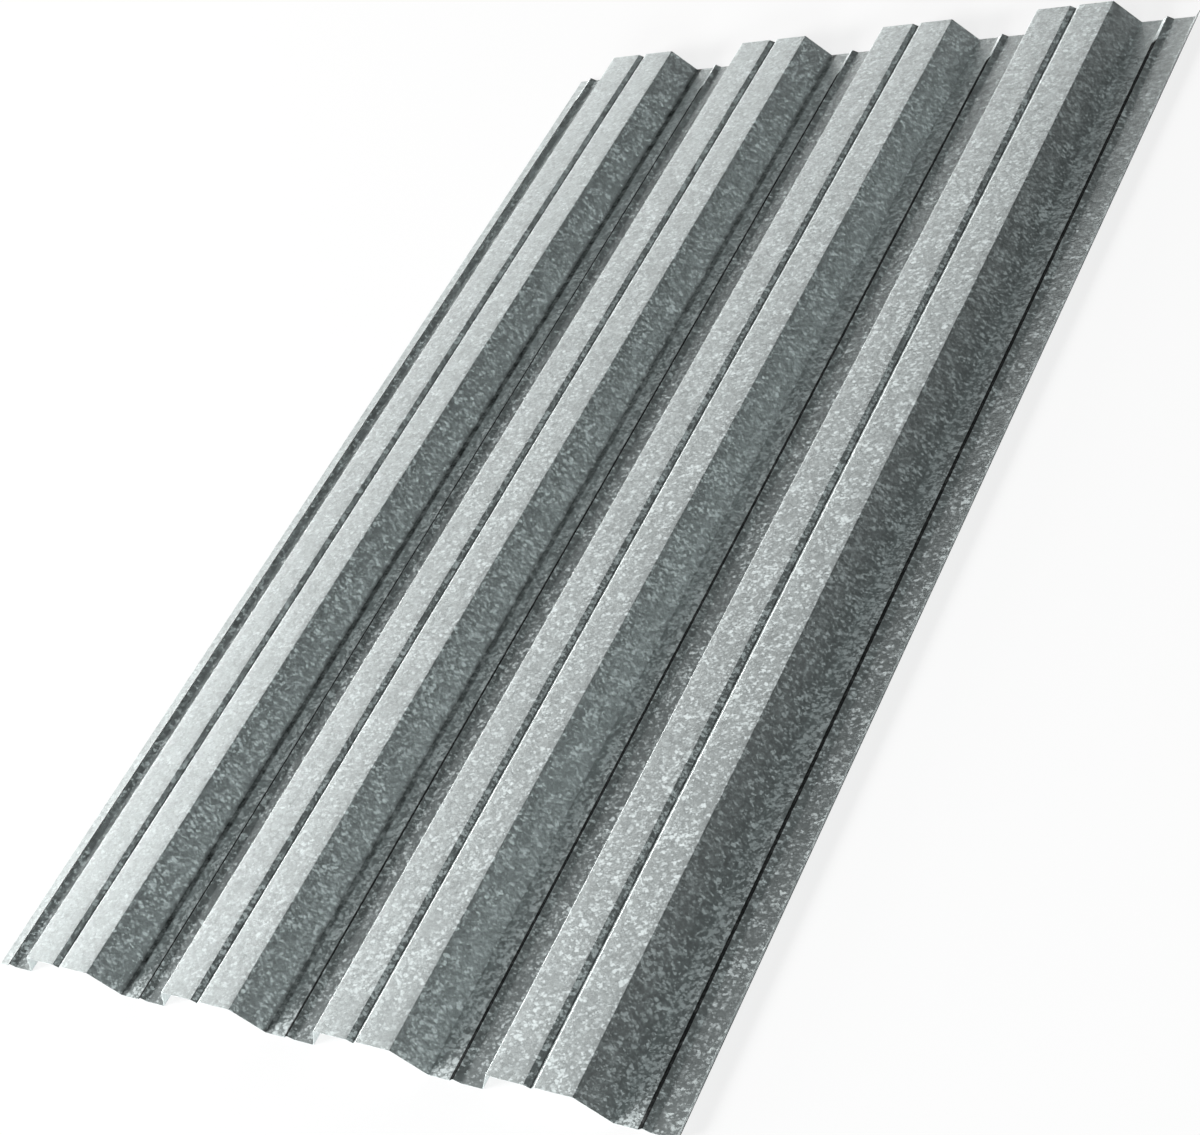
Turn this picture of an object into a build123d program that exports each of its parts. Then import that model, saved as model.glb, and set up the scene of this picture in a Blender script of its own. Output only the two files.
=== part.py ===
from build123d import *
import math
import os

# A trapezoidal profiled steel sheet, lying flat with its ribs up. X runs across the ribs, Y along
# them and Z up. The origin is the middle of the sheet on the floor it lies on.

# Driving dimensions, in millimetres
sheet_length = 1710.0
sheet_thickness = 0.7
rib_count = 4
rib_pitch = 250.0
rib_height = 40.0
crest_width = 115.0
web_run = 29.0
groove_width = 14.0
groove_depth = 5.0
ridge_width = 16.0
ridge_height = 5.5
left_strip_width = 14.5
lip_height = 10.5
lip_run = 9.7
web_bend_radius = 0.8
stiffener_bend_radius = 0.5

# Sizes that follow. Heights are those of the upper face, and the floor is at 0.
valley_level = sheet_thickness
crest_level = valley_level + rib_height
valley_width = rib_pitch - crest_width - 2 * web_run
lip_angle = math.atan2(lip_height, lip_run)
lip_wall_run = sheet_thickness * math.sin(lip_angle)
half_ridge = ridge_width / 2
half_groove = groove_width / 2
half_crest = crest_width / 2
overall_width = (
    left_strip_width + half_ridge + rib_count * rib_pitch + valley_width / 2 + lip_run + lip_wall_run
)
left_edge = -overall_width / 2
first_ridge_middle = left_edge + left_strip_width + half_ridge
lip_foot = first_ridge_middle + rib_count * rib_pitch + valley_width / 2

# A bend's radius is the same on its inner side everywhere. The upper face is the inner side of a
# bend that is hollow from above, and the outer side of one that bulges upwards.
web_hollow = web_bend_radius
web_bulge = web_bend_radius + sheet_thickness
stiffener_hollow = stiffener_bend_radius
stiffener_bulge = stiffener_bend_radius + sheet_thickness


def ridge_corners(middle):
    """The low ridge that stiffens a valley: x, z and bend radius of each corner of the upper face."""
    return [
        (middle - half_ridge, valley_level, stiffener_hollow),
        (middle, valley_level + ridge_height, stiffener_bulge),
        (middle + half_ridge, valley_level, stiffener_hollow),
    ]


def rib_corners(middle):
    """One rib: web up, crest with its V groove, web down."""
    return [
        (middle - half_crest - web_run, valley_level, web_hollow),
        (middle - half_crest, crest_level, web_bulge),
        (middle - half_groove, crest_level, stiffener_bulge),
        (middle, crest_level - groove_depth, stiffener_hollow),
        (middle + half_groove, crest_level, stiffener_bulge),
        (middle + half_crest, crest_level, web_bulge),
        (middle + half_crest + web_run, valley_level, web_hollow),
    ]


def section_corners():
    """Every bend of the section from left to right, up to the foot of the lip on the right."""
    corners = []
    for i in range(rib_count):
        ridge_middle = first_ridge_middle + i * rib_pitch
        corners += ridge_corners(ridge_middle)
        corners += rib_corners(ridge_middle + rib_pitch / 2)
    corners += ridge_corners(first_ridge_middle + rib_count * rib_pitch)
    corners.append((lip_foot, valley_level, web_hollow))
    return corners


def profiled_sheet():
    """The upper face's line, thickened downwards and drawn out to the sheet's length."""
    corners = section_corners()
    start = (left_edge, valley_level)
    end = (lip_foot + lip_run, valley_level + lip_height)
    points = [start] + [(x, z) for x, z, _ in corners] + [end]
    radii = [radius for _, _, radius in corners]
    with BuildPart() as sheet:
        with BuildSketch(Plane.XZ):
            with BuildLine():
                FilletPolyline(*points, radius=radii)
                offset(amount=sheet_thickness, side=Side.RIGHT)
            make_face()
        extrude(amount=sheet_length / 2, both=True)
    return sheet.part


os.makedirs("parts", exist_ok=True)
export_step(profiled_sheet(), "parts/profiled_sheet.step")
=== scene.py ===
import math
from collections import namedtuple

import bmesh
import bpy
import numpy as np
from mathutils import Matrix, Vector


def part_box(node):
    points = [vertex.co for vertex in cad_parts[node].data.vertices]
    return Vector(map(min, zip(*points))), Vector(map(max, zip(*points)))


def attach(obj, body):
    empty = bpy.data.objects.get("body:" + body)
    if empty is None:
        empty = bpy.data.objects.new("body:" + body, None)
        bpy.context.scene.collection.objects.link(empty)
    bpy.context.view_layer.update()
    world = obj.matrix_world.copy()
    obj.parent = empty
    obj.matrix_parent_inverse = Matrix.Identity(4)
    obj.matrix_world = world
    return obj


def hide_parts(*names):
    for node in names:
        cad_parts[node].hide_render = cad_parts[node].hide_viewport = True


# Looks for one zinc coated profiled steel sheet, in metres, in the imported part's own frame: X runs
# across the ribs, Y along them and Z up, and the sheet lies on the floor at Z = 0.

SHEET_NODE = "profiled_sheet"

# Camera
CAMERA_PLACE = Vector((1.75687, -1.50343, 1.73345))
CAMERA_AIM = Vector((0.05065, -0.15446, 0.0))
CAMERA_ROLL = math.radians(-34.479)
CAMERA_LENS = 66.056
CAMERA_SENSOR = 36.0

# Mesh of the sheet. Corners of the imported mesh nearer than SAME_POINT are one, and its faces whose
# normal points along Y by at least FACES_ALONG make up the cut end.
ROW_SPACING = 0.050
LONGEST_STEP_ACROSS = 0.014
SHARP_CORNER = math.radians(40)
SAME_POINT = 1e-6
FACES_ALONG = 0.99

# The texture map for finished textures: the upper face, the underside and the two long cut edges lie
# side by side across it, and the two cut ends lie above them.
MAP_NAME = "OFBake"
UPPER_SPAN = (0.002, 0.640)
LOWER_SPAN = (0.646, 0.984)
LEFT_CUT_SPAN = (0.988, 0.992)
RIGHT_CUT_SPAN = (0.995, 0.999)
LENGTH_SPAN = (0.002, 0.970)
NEAR_END_SPAN = (0.976, 0.982)
FAR_END_SPAN = (0.988, 0.994)

# A second map holds each point's place on the sheet as if unrolled, in metres, for the zinc pattern
UNROLLED_NAME = "Unrolled"

# Zinc flecks, which are matt crystals on a shinier ground: their sizes, direction and shape, how
# much of them shows, and the spans of colour, metal and roughness from the ground to the flecks.
# A higher FEW_BRIGHT leaves fewer of them bright, and LEAN tips the surface from crystal to crystal.
LARGE_FLECK = 0.0050
SMALL_FLECK = 0.0029
FLECK_TURN = math.radians(40)
FLECK_SHAPE = (0.85, 1.15, 1.0)
MIDDLE_VALUE = 0.5
RAGGED = 1.5
RAGGED_DETAIL = 1.0
RAGGED_ROUGHNESS = 0.5
FLECK_CORE = (0.30, 0.66)
FEW_BRIGHT = 3.4
LARGE_SHARE = 1.6
SMALL_SHARE = 1.15
PATCH = 0.040
PATCH_RANGE = (0.6, 1.4)
LEAN = 0.03
DULL_ZINC = (0.565, 0.615, 0.613)
BRIGHT_ZINC = (0.855, 0.93, 0.928)
CRYSTAL_TONE = 0.30
FLECK_TONE = 0.22
METAL_RANGE = (1.0, 0.0)
ROUGH_RANGE = (0.48, 0.60)

# Soft clouds: their detail, their roughness, and the span of their values that counts
CLOUD_DETAIL = 3.0
CLOUD_ROUGHNESS = 0.55
CLOUD_SPAN = (0.35, 0.65)

# Painted shade, and white bloom that strengthens the flecks, lie in bands along the sheet. These
# spans are distances to the left of the line where a ridge's right flank ends, RIDGE_TO_LINE from the
# ridge's middle, so they come back at every rib.
FIRST_RIDGE = -0.513107
RIB_PITCH = 0.250
RIDGE_TO_LINE = 0.008
RIGHT_FLANK = (0.0002, 0.0073)
LEFT_FLANK = (0.0076, 0.0164)
LEFT_FLOOR = (0.0180, 0.0440)
WEB_FOOT = (0.0375, 0.0476)
GROOVE_RIGHT = (0.1262, 0.1330)
GROOVE_BOTTOM = (0.1308, 0.1341)
GROOVE_LEFT = (0.1341, 0.1398)
RIGHT_FLOOR = (0.2195, 0.2500)

# These bands are given by X, and lie along the last web, the lip and its cut edge
LAST_WEB = (0.4190, 0.4490)
LIP = (0.5262, 0.5400)
CUT_EDGE = (0.5350, 0.5400)

# How soft the sides of each kind of band are
FLANK_SOFTNESS = 0.0002
FOOT_SOFTNESS = 0.0016
BAND_SOFTNESS = 0.0006
LIP_SOFTNESS = 0.0008
CUT_SOFTNESS = 0.0001
BLOOM_SOFTNESS = 0.004

# How much each band is darkened: painted shade, and a darker cut edge. A pair of shares fades from
# the first to the second over the span given with it, which is along Y for the left flanks and across
# X for the others.
# Painted shadow: the black line on the ridges' left flanks, which ends near the far end.
LEFT_FLANK_SHADOW = (0.97, 0.0)
LEFT_FLANK_FADES = (0.804, 0.808)
# Painted shade on the ridges' right flanks, weaker towards the right.
RIGHT_FLANK_SHADE = (0.37, 0.06)
RIGHT_FLANK_FADES = (0.30, 0.48)
# Painted shade in a dark band beside each web's foot, fading away towards the right.
WEB_FOOT_SHADE = (0.90, 0.0)
WEB_FOOT_FADES = (-0.15, 0.24)
# Painted shade on the last web.
LAST_WEB_SHADE = (0.37, 0.10)
LAST_WEB_FADES = (0.425, 0.445)
# Painted shade on the right floors of the valleys.
RIGHT_FLOOR_SHADE = 0.18
# Painted shade on the right side of each groove, deeper at its bottom.
GROOVE_RIGHT_SHADE = 0.15
GROOVE_BOTTOM_SHADE = 0.80
# Painted shade on the lip.
LIP_SHADE = 0.50
# Darker along the lip's cut edge.
CUT_EDGE_DARKENING = 0.80
# Soft patches in the painted shade along the ribs
SHADE_PATCH = 0.02
SHADE_PATCH_RANGE = (0.6, 1.0)

# By how much the bloom strengthens the flecks, and the loss on the right floors weakens them. On
# the left floors the bloom sets in over a short way from the first ridge's middle.
LEFT_FLOOR_BLOOM = 2.2
GROOVE_LEFT_BLOOM = 1.3
RIGHT_FLOOR_LOSS = 0.35
BLOOM_SETS_IN = 0.01

# Painted shade, other than that on the lip and its cut edge, and bloom lie where the surface faces
# upwards, and set in over this span of its normal's Z
UPWARD = (0.0, 0.1)

# Soft boxes, all aimed at the sheet. The azimuth runs from +X towards +Y, the width and height are
# angles as seen from the sheet, and the level is what a white card facing the box would show.
SoftBox = namedtuple("SoftBox", "name azimuth elevation width height level colour")
SOFT_BOXES = (
    SoftBox("back_strip", 131, 10, 77, 16, 0.61, (1.0, 0.970, 0.960)),
    SoftBox("low_strip", 186, 7, 65, 11, 1.27, (1.0, 0.970, 0.960)),
    SoftBox("side_box", 220, 23, 28, 15, 1.60, (1.0, 0.995, 0.995)),
    SoftBox("front_box", 286, 13, 28, 14, 0.80, (0.94, 1.0, 1.0)),
)
SOFT_BOX_DISTANCE = 12.0

ROOM_COLOUR = (0.96, 1.0, 1.0)
ROOM_LEVEL = 0.065

FLOOR_RADIUS = 600.0
FLOOR_SIDES = 96
FLOOR_COLOUR = (0.93, 0.93, 0.93)
FLOOR_TONES = (0.985, 1.0)
FLOOR_PATCH = 0.4
FLOOR_ROUGHNESS = 0.9
FLOOR_SHINE = 0.1
# How much of the floor is seen as plain white, over its own light and shadow
FLOOR_WHITE = 0.80


def add_node(tree, kind, values=None, **settings):
    """A shader node with its settings, and values for its unlinked inputs."""
    node = tree.nodes.new(kind)
    for name, value in settings.items():
        setattr(node, name, value)
    for name, value in (values or {}).items():
        node.inputs[name].default_value = value
    return node


def math_node(tree, operation, first, second):
    """A Math node on two inputs, each a socket or a number."""
    node = add_node(tree, "ShaderNodeMath", operation=operation)
    for index, value in enumerate((first, second)):
        if isinstance(value, (int, float)):
            node.inputs[index].default_value = value
        else:
            tree.links.new(value, node.inputs[index])
    return node.outputs[0]


def new_material(name):
    """An empty material with an output and a Principled shader."""
    material = bpy.data.materials.new(name)
    material.use_nodes = True
    tree = material.node_tree
    tree.nodes.clear()
    output = add_node(tree, "ShaderNodeOutputMaterial")
    shader = add_node(tree, "ShaderNodeBsdfPrincipled")
    tree.links.new(shader.outputs["BSDF"], output.inputs["Surface"])
    return material, tree, shader, output


def noise_outputs(tree, place, size, detail, roughness):
    """The outputs of a noise texture with features of about that size."""
    values = {"Scale": 1 / size, "Detail": detail, "Roughness": roughness}
    noise = add_node(tree, "ShaderNodeTexNoise", values)
    tree.links.new(place, noise.inputs["Vector"])
    return noise.outputs


def flecks(tree, place, size):
    """Soft edged flecks of about that size, few of them bright, with a tone and a lean for each."""
    noise = noise_outputs(tree, place, size, RAGGED_DETAIL, RAGGED_ROUGHNESS)
    drift = shifted(tree, noise["Color"], MIDDLE_VALUE)
    moved = vector_sum(tree, place, scaled_vector(tree, drift, RAGGED * size))
    values = {"Scale": 1 / size, "Randomness": 1.0}
    cells = add_node(tree, "ShaderNodeTexVoronoi", values, feature="F1")
    tree.links.new(moved, cells.inputs["Vector"])
    split = add_node(tree, "ShaderNodeSeparateColor")
    tree.links.new(cells.outputs["Color"], split.inputs["Color"])
    core = remapped(tree, cells.outputs["Distance"], FLECK_CORE, (1, 0))
    bright = math_node(tree, "POWER", split.outputs["Red"], FEW_BRIGHT)
    lean = shifted(tree, cells.outputs["Color"], MIDDLE_VALUE)
    return math_node(tree, "MULTIPLY", core, bright), split.outputs["Green"], lean


def shifted(tree, vector, amount):
    """The vector with the same amount taken off each of its parts."""
    node = add_node(tree, "ShaderNodeVectorMath", operation="SUBTRACT")
    node.inputs[1].default_value = (amount, amount, amount)
    tree.links.new(vector, node.inputs[0])
    return node.outputs[0]


def scaled_vector(tree, vector, amount):
    """The vector times an amount, which is a socket or a number."""
    node = add_node(tree, "ShaderNodeVectorMath", operation="SCALE")
    tree.links.new(vector, node.inputs[0])
    if isinstance(amount, (int, float)):
        node.inputs["Scale"].default_value = amount
    else:
        tree.links.new(amount, node.inputs["Scale"])
    return node.outputs[0]


def vector_sum(tree, first, second):
    """Two vectors added."""
    node = add_node(tree, "ShaderNodeVectorMath", operation="ADD")
    tree.links.new(first, node.inputs[0])
    tree.links.new(second, node.inputs[1])
    return node.outputs[0]


def remapped(tree, value, span, new_span):
    """The value carried from one span to another, and held at its ends."""
    names = ("From Min", "From Max", "To Min", "To Max")
    node = add_node(tree, "ShaderNodeMapRange", dict(zip(names, (*span, *new_span))))
    tree.links.new(value, node.inputs["Value"])
    return node.outputs["Result"]


def colour_between(tree, share, first, second):
    """A colour that runs from the first to the second as the share runs from 0 to 1."""
    ramp = add_node(tree, "ShaderNodeValToRGB")
    ramp.color_ramp.elements[0].color = (*first, 1)
    ramp.color_ramp.elements[1].color = (*second, 1)
    tree.links.new(share, ramp.inputs["Fac"])
    return ramp.outputs["Color"]


def clouds(tree, place, size):
    """Soft clouds of about that size, from 0 to 1."""
    return noise_outputs(tree, place, size, CLOUD_DETAIL, CLOUD_ROUGHNESS)["Fac"]


def band(tree, value, span, softness, share):
    """The share inside the span and nothing outside, with soft sides."""
    start, end = span
    rise = remapped(tree, value, (start - softness, start + softness), (0, 1))
    fall = remapped(tree, value, (end - softness, end + softness), (1, 0))
    return math_node(tree, "MULTIPLY", math_node(tree, "MULTIPLY", rise, fall), share)


def strongest(tree, values):
    """The largest of several values."""
    largest = values[0]
    for value in values[1:]:
        largest = math_node(tree, "MAXIMUM", largest, value)
    return largest


def upper_side(tree):
    """One where the surface faces upwards, and nothing where it faces down."""
    facing = add_node(tree, "ShaderNodeSeparateXYZ")
    tree.links.new(add_node(tree, "ShaderNodeNewGeometry").outputs["Normal"], facing.inputs[0])
    return remapped(tree, facing.outputs["Z"], UPWARD, (0, 1))


def valley_distance(tree, x):
    """How far a point lies to the left of the nearest line along a ridge on its right."""
    along = math_node(tree, "SUBTRACT", FIRST_RIDGE + RIDGE_TO_LINE, x)
    turns = math_node(tree, "FRACT", math_node(tree, "DIVIDE", along, RIB_PITCH), 0.0)
    return math_node(tree, "MULTIPLY", turns, RIB_PITCH)


def painted_shade_amount(tree, x, y, distance, upper, place):
    """How much shade is painted on the metal, and how much darker its cut edge is, from 0 to 1."""
    web_foot = remapped(tree, x, WEB_FOOT_FADES, WEB_FOOT_SHADE)
    right_flank = remapped(tree, x, RIGHT_FLANK_FADES, RIGHT_FLANK_SHADE)
    last_web = remapped(tree, x, LAST_WEB_FADES, LAST_WEB_SHADE)
    # Painted shade in bands on the upper face: beside the web feet, on the ridges' right flanks and
    # right floors, in the grooves and on the last web.
    shade_bands = (
        band(tree, distance, WEB_FOOT, FOOT_SOFTNESS, web_foot),
        band(tree, distance, RIGHT_FLANK, BAND_SOFTNESS, right_flank),
        band(tree, distance, RIGHT_FLOOR, BAND_SOFTNESS, RIGHT_FLOOR_SHADE),
        band(tree, distance, GROOVE_RIGHT, BAND_SOFTNESS, GROOVE_RIGHT_SHADE),
        band(tree, distance, GROOVE_BOTTOM, BAND_SOFTNESS, GROOVE_BOTTOM_SHADE),
        band(tree, x, LAST_WEB, BAND_SOFTNESS, last_web),
    )
    patches = remapped(tree, clouds(tree, place, SHADE_PATCH), CLOUD_SPAN, SHADE_PATCH_RANGE)
    banded_shade = math_node(tree, "MULTIPLY", strongest(tree, shade_bands), patches)
    # The black line on the ridges' left flanks is painted shadow, which ends near the far end where
    # light comes in.
    left_flank = remapped(tree, y, LEFT_FLANK_FADES, LEFT_FLANK_SHADOW)
    flank_shadow = band(tree, distance, LEFT_FLANK, FLANK_SOFTNESS, left_flank)
    above = math_node(tree, "MULTIPLY", math_node(tree, "MAXIMUM", flank_shadow, banded_shade), upper)
    # Painted shade on the lip, on both faces, and a darker band along its cut edge.
    cut_edge = band(tree, x, CUT_EDGE, CUT_SOFTNESS, CUT_EDGE_DARKENING)
    lip = band(tree, x, LIP, LIP_SOFTNESS, LIP_SHADE)
    return strongest(tree, (above, cut_edge, lip))


def bloom_amount(tree, x, distance, upper):
    """By how much the flecks are strengthened, or weakened where it is below nothing."""
    sets_in = (FIRST_RIDGE, FIRST_RIDGE + BLOOM_SETS_IN)
    left_floor = remapped(tree, x, sets_in, (0, LEFT_FLOOR_BLOOM))
    bloom = math_node(
        tree,
        "ADD",
        band(tree, distance, LEFT_FLOOR, BLOOM_SOFTNESS, left_floor),
        band(tree, distance, GROOVE_LEFT, BAND_SOFTNESS, GROOVE_LEFT_BLOOM),
    )
    loss = band(tree, distance, RIGHT_FLOOR, BAND_SOFTNESS, RIGHT_FLOOR_LOSS)
    return math_node(tree, "MULTIPLY", math_node(tree, "SUBTRACT", bloom, loss), upper)


def painted_shade_and_bloom(tree, place):
    """The amounts of painted shade and of bloom at each point of the sheet."""
    split = add_node(tree, "ShaderNodeSeparateXYZ")
    tree.links.new(place, split.inputs[0])
    x = split.outputs["X"]
    y = split.outputs["Y"]
    distance = valley_distance(tree, x)
    upper = upper_side(tree)
    painted_shade = painted_shade_amount(tree, x, y, distance, upper, place)
    bloom = bloom_amount(tree, x, distance, upper)
    return painted_shade, bloom


def fleck_pattern(tree, unrolled):
    """How much of the flecks of both sizes shows at each point, and their joint tone and lean."""
    turned = {"Rotation": (0, 0, -FLECK_TURN), "Scale": FLECK_SHAPE}
    mapping = add_node(tree, "ShaderNodeMapping", turned)
    tree.links.new(unrolled, mapping.inputs["Vector"])
    stretched = mapping.outputs[0]
    large_fleck, large_tone, large_lean = flecks(tree, stretched, LARGE_FLECK)
    small_fleck, small_tone, small_lean = flecks(tree, stretched, SMALL_FLECK)
    large_part = math_node(tree, "MULTIPLY", large_fleck, LARGE_SHARE)
    small_part = math_node(tree, "MULTIPLY", small_fleck, SMALL_SHARE)
    patches = remapped(tree, clouds(tree, unrolled, PATCH), CLOUD_SPAN, PATCH_RANGE)
    flecked = math_node(tree, "MULTIPLY", math_node(tree, "ADD", large_part, small_part), patches)
    tone = math_node(tree, "ADD", large_tone, small_tone)
    lean = vector_sum(
        tree, scaled_vector(tree, large_lean, LEAN), scaled_vector(tree, small_lean, LEAN)
    )
    return flecked, tone, lean


def leaning_normal(tree, lean):
    """The surface's own normal, tipped by the lean of the crystals."""
    surface = add_node(tree, "ShaderNodeNewGeometry").outputs["Normal"]
    leaning = add_node(tree, "ShaderNodeVectorMath", operation="NORMALIZE")
    tree.links.new(vector_sum(tree, surface, lean), leaning.inputs[0])
    return leaning.outputs[0]


def zinc_colour(tree, flecked, tone, painted_shade):
    """Pale crystals of several tones, paler still in the flecks, and darkened by the painted shade.
    """
    crystals = math_node(tree, "MULTIPLY", tone, CRYSTAL_TONE)
    paler = math_node(tree, "MULTIPLY", flecked, FLECK_TONE)
    share = math_node(tree, "ADD", crystals, paler)
    colour = colour_between(tree, share, DULL_ZINC, BRIGHT_ZINC)
    unshaded = math_node(tree, "SUBTRACT", 1.0, painted_shade)
    return scaled_vector(tree, colour, unshaded)


def zinc_material():
    """Hot dip zinc: a grey metal ground with paler, matt flecks, in soft patches."""
    material, tree, shader, _ = new_material("zinc_spangle")
    place = add_node(tree, "ShaderNodeTexCoord").outputs["Object"]
    unrolled = add_node(tree, "ShaderNodeUVMap", uv_map=UNROLLED_NAME).outputs["UV"]
    flecked, tone, lean = fleck_pattern(tree, unrolled)
    painted_shade, bloom = painted_shade_and_bloom(tree, place)
    matt = math_node(tree, "MULTIPLY", flecked, math_node(tree, "ADD", bloom, 1.0))
    metal = remapped(tree, matt, (0, 1), METAL_RANGE)
    # The painted shade also makes the metal rougher, which dulls its reflections there.
    rough = math_node(tree, "MAXIMUM", remapped(tree, matt, (0, 1), ROUGH_RANGE), painted_shade)
    tree.links.new(metal, shader.inputs["Metallic"])
    tree.links.new(rough, shader.inputs["Roughness"])
    tree.links.new(zinc_colour(tree, flecked, tone, painted_shade), shader.inputs["Base Color"])
    tree.links.new(leaning_normal(tree, lean), shader.inputs["Normal"])
    return material


def floor_tint(tree):
    """The floor's own colour, with the faintest mottling."""
    place = add_node(tree, "ShaderNodeTexCoord").outputs["Object"]
    tones = remapped(tree, clouds(tree, place, FLOOR_PATCH), (0, 1), FLOOR_TONES)
    tint = add_node(tree, "ShaderNodeVectorMath", operation="SCALE")
    tint.inputs[0].default_value = FLOOR_COLOUR
    tree.links.new(tones, tint.inputs["Scale"])
    return tint.outputs["Vector"]


def whitened(tree, surface):
    """The surface as it is for the light, and mostly plain white as it is seen or mirrored."""
    rays = add_node(tree, "ShaderNodeLightPath").outputs
    seen = math_node(tree, "MAXIMUM", rays["Is Camera Ray"], rays["Is Glossy Ray"])
    seen = math_node(tree, "MAXIMUM", seen, rays["Is Transmission Ray"])
    white = add_node(tree, "ShaderNodeEmission", {"Color": (1, 1, 1, 1), "Strength": 1.0})
    mixed = add_node(tree, "ShaderNodeMixShader")
    tree.links.new(math_node(tree, "MULTIPLY", seen, FLOOR_WHITE), mixed.inputs[0])
    tree.links.new(surface, mixed.inputs[1])
    tree.links.new(white.outputs["Emission"], mixed.inputs[2])
    return mixed.outputs["Shader"]


def floor_material():
    """A pale studio floor that keeps the sheet's shadow."""
    material, tree, shader, output = new_material("pale_floor")
    tree.links.new(floor_tint(tree), shader.inputs["Base Color"])
    shader.inputs["Roughness"].default_value = FLOOR_ROUGHNESS
    shader.inputs["Specular IOR Level"].default_value = FLOOR_SHINE
    tree.links.new(whitened(tree, shader.outputs["BSDF"]), output.inputs["Surface"])
    return material


def end_outline(node):
    """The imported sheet's section as a closed loop of (x, z), read from its end face."""
    mesh = bmesh.new()
    mesh.from_mesh(node.data)
    bmesh.ops.remove_doubles(mesh, verts=mesh.verts, dist=SAME_POINT)
    mesh.normal_update()
    end_faces = {face for face in mesh.faces if face.normal.y > FACES_ALONG}
    rim = [edge for edge in mesh.edges if sum(face in end_faces for face in edge.link_faces) == 1]
    neighbours = {}
    for edge in rim:
        first, second = edge.verts
        neighbours.setdefault(first, []).append(second)
        neighbours.setdefault(second, []).append(first)
    start = min(neighbours, key=lambda vert: (vert.co.x, vert.co.z))
    loop = [start]
    previous = None
    while True:
        here = loop[-1]
        following = [vert for vert in neighbours[here] if vert is not previous]
        previous = here
        if following[0] is start or (len(loop) > 2 and start in following):
            break
        loop.append(following[0])
    points = np.array([(vert.co.x, vert.co.z) for vert in loop])
    mesh.free()
    return points


def split_long_steps(points):
    """The loop with points added, so that no step is longer than the limit."""
    finer = []
    for here, there in zip(points, np.roll(points, -1, axis=0)):
        steps = max(1, math.ceil(np.linalg.norm(there - here) / LONGEST_STEP_ACROSS))
        for step in range(steps):
            finer.append(here + (there - here) * step / steps)
    return np.array(finer)


def up_first(points):
    """The loop turned so that it runs up the left cut edge, over the top and back underneath."""
    x, z = points.T
    area = np.sum(x * np.roll(z, -1) - np.roll(x, -1) * z)
    if area > 0:
        points = np.roll(points[::-1], 1, axis=0)
    return points


def step_lengths(points):
    """How long each step of the closed loop is."""
    return np.linalg.norm(np.roll(points, -1, axis=0) - points, axis=1)


def places_across(points):
    """Where each step of the loop starts and ends across the map, and the lip's lower corner."""
    right_foot = int(np.argmax(points[:, 0]))
    steps = step_lengths(points)
    groups = (
        (0, 1, LEFT_CUT_SPAN),
        (1, right_foot - 1, UPPER_SPAN),
        (right_foot - 1, right_foot, RIGHT_CUT_SPAN),
        (right_foot, len(points), LOWER_SPAN),
    )
    places = []
    for first, last, (low, high) in groups:
        run = np.concatenate(([0], np.cumsum(steps[first:last])))
        marks = low + (high - low) * run / run[-1]
        places += list(zip(marks[:-1], marks[1:]))
    return places, right_foot


def add_face(builder, corners, layers):
    """One face, with a place for each corner on each of the maps."""
    face = builder.faces.new(corners)
    for layer, places in layers:
        for loop, place in zip(face.loops, places):
            loop[layer].uv = place


def cell_corners(starts, ends):
    """The four corners of a cell, from its starts and ends across and along."""
    return (
        (starts[0], starts[1]),
        (ends[0], starts[1]),
        (ends[0], ends[1]),
        (starts[0], ends[1]),
    )


def add_long_faces(builder, maps, grid, outline, stations, across):
    """The faces that run along the sheet, from each row of corners to the next."""
    bake_map, true_map = maps
    unrolled = np.concatenate(([0], np.cumsum(step_lengths(outline))))
    along = np.linspace(*LENGTH_SPAN, len(stations))
    for row in range(len(stations) - 1):
        for index, (start, end) in enumerate(across):
            after = (index + 1) % len(outline)
            corners = (grid[row][index], grid[row][after], grid[row + 1][after], grid[row + 1][index])
            on_map = cell_corners((start, along[row]), (end, along[row + 1]))
            on_sheet = cell_corners(
                (unrolled[index], stations[row]), (unrolled[index + 1], stations[row + 1])
            )
            add_face(builder, corners, ((bake_map, on_map), (true_map, on_sheet)))


def add_cut_ends(builder, maps, grid, outline, right_foot):
    """One face for each of the two cut ends."""
    bake_map, true_map = maps
    low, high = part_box(SHEET_NODE)
    on_top = [0 < index < right_foot for index in range(len(outline))]
    widths = (outline[:, 0] - low.x) / (high.x - low.x)
    for ring, (foot, head) in ((grid[0], NEAR_END_SPAN), (grid[-1], FAR_END_SPAN)):
        on_map = [(width, head if top else foot) for width, top in zip(widths, on_top)]
        add_face(builder, ring, ((bake_map, on_map), (true_map, outline)))


def new_object(builder, name):
    """An object in the scene from the builder's mesh."""
    mesh = bpy.data.meshes.new(name)
    builder.to_mesh(mesh)
    builder.free()
    made = bpy.data.objects.new(name, mesh)
    bpy.context.scene.collection.objects.link(made)
    return made


def build_sheet(node):
    """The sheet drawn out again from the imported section, with its own texture maps."""
    low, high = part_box(SHEET_NODE)
    outline = split_long_steps(up_first(end_outline(node)))
    across, right_foot = places_across(outline)
    rows = math.ceil((high.y - low.y) / ROW_SPACING) + 1
    stations = np.linspace(low.y, high.y, rows)
    builder = bmesh.new()
    maps = [builder.loops.layers.uv.new(name) for name in (MAP_NAME, UNROLLED_NAME)]
    grid = [[builder.verts.new((x, y, z)) for x, z in outline] for y in stations]
    add_long_faces(builder, maps, grid, outline, stations, across)
    add_cut_ends(builder, maps, grid, outline, right_foot)
    bmesh.ops.recalc_face_normals(builder, faces=builder.faces)
    bmesh.ops.triangulate(builder, faces=[face for face in builder.faces if len(face.verts) > 4])
    sheet = new_object(builder, "zinc_sheet")
    sheet.data.shade_smooth()
    sheet.data.set_sharp_from_angle(angle=SHARP_CORNER)
    return sheet


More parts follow.
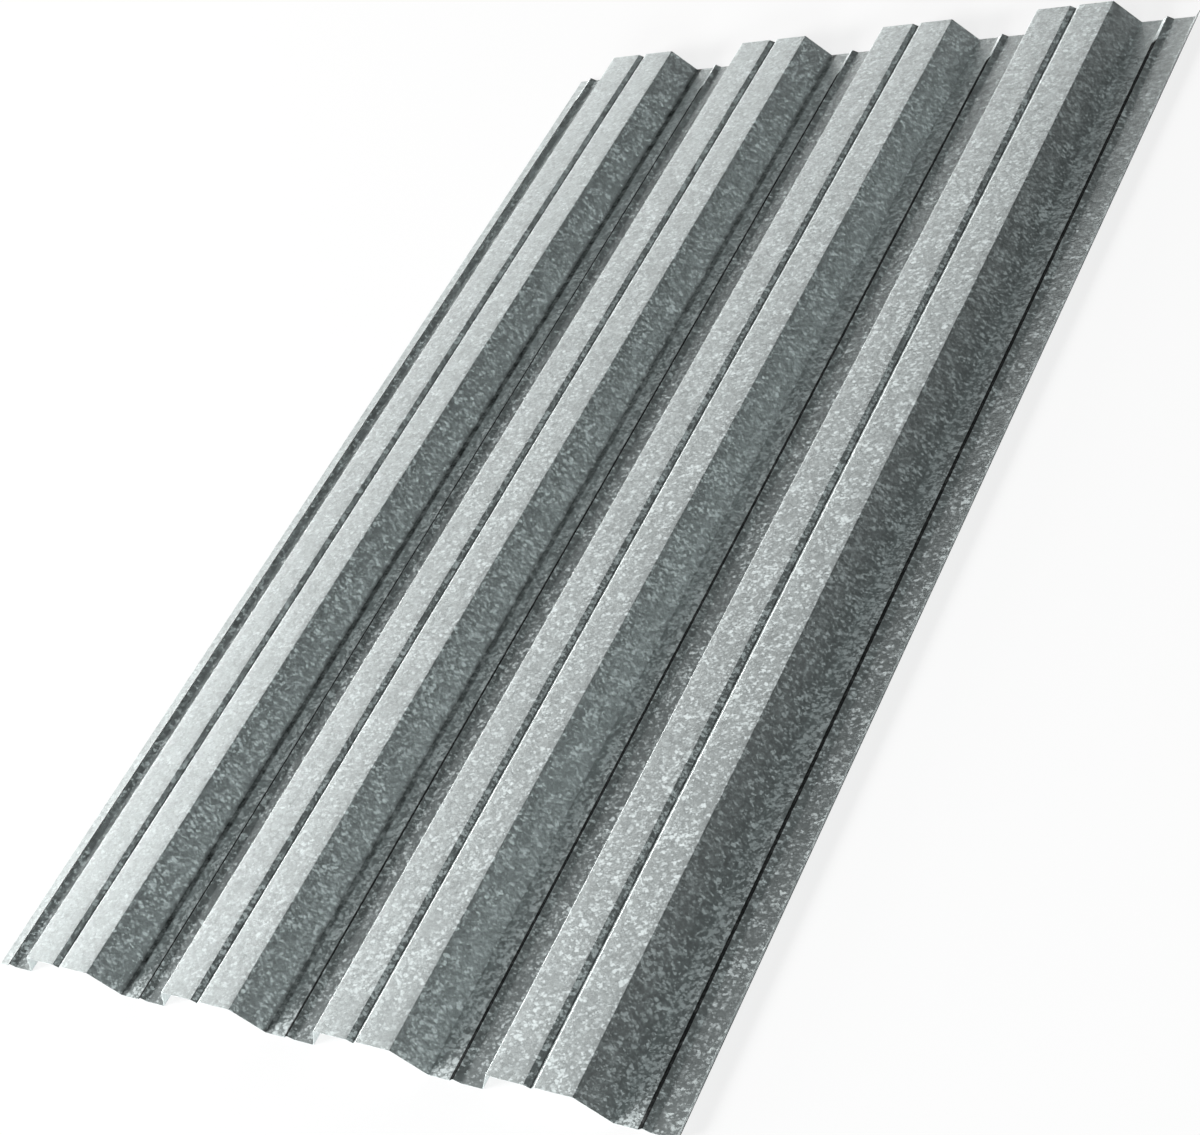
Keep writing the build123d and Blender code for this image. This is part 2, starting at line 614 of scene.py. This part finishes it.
def add_soft_box(box):
    """A soft box aimed at the sheet. Its power gives a white card facing it the wanted level."""
    data = bpy.data.lights.new(box.name, "AREA")
    data.shape = "RECTANGLE"
    data.size = 2 * SOFT_BOX_DISTANCE * math.tan(math.radians(box.width / 2))
    data.size_y = 2 * SOFT_BOX_DISTANCE * math.tan(math.radians(box.height / 2))
    data.energy = box.level * math.pi**2 * SOFT_BOX_DISTANCE**2
    data.color = box.colour
    lamp = bpy.data.objects.new(box.name, data)
    bpy.context.scene.collection.objects.link(lamp)
    azimuth = math.radians(box.azimuth)
    elevation = math.radians(box.elevation)
    towards = Vector(
        (
            math.cos(elevation) * math.cos(azimuth),
            math.cos(elevation) * math.sin(azimuth),
            math.sin(elevation),
        )
    )
    lamp.location = towards * SOFT_BOX_DISTANCE
    lamp.rotation_euler = towards.to_track_quat("Z", "Y").to_euler()


def add_room():
    """The room's own faint, even light."""
    world = bpy.data.worlds.new("room")
    bpy.context.scene.world = world
    world.use_nodes = True
    background = world.node_tree.nodes["Background"]
    background.inputs["Color"].default_value = (*ROOM_COLOUR, 1)
    background.inputs["Strength"].default_value = ROOM_LEVEL


def add_floor():
    """A wide round floor just under the sheet."""
    builder = bmesh.new()
    bmesh.ops.create_circle(builder, cap_ends=True, segments=FLOOR_SIDES, radius=FLOOR_RADIUS)
    floor = new_object(builder, "floor")
    floor.data.materials.append(floor_material())


def add_camera():
    """The photograph's viewpoint."""
    data = bpy.data.cameras.new("camera")
    data.lens = CAMERA_LENS
    data.sensor_width = CAMERA_SENSOR
    camera = bpy.data.objects.new("camera", data)
    bpy.context.scene.collection.objects.link(camera)
    aimed = (CAMERA_PLACE - CAMERA_AIM).to_track_quat("Z", "Y").to_matrix()
    rolled = aimed @ Matrix.Rotation(CAMERA_ROLL, 3, "Z")
    camera.matrix_world = Matrix.Translation(CAMERA_PLACE) @ rolled.to_4x4()
    bpy.context.scene.camera = camera


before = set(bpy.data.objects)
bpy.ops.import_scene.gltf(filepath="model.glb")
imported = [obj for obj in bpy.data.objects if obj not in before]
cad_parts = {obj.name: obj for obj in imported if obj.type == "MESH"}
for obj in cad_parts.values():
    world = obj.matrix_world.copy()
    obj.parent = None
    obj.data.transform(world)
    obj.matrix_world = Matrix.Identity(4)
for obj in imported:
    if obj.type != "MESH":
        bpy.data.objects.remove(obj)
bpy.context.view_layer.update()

sheet = build_sheet(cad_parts[SHEET_NODE])
sheet.data.materials.append(zinc_material())
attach(sheet, "root")
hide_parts(SHEET_NODE)

add_floor()
add_room()
for box in SOFT_BOXES:
    add_soft_box(box)
add_camera()
bpy.context.scene.view_settings.view_transform = "Standard"
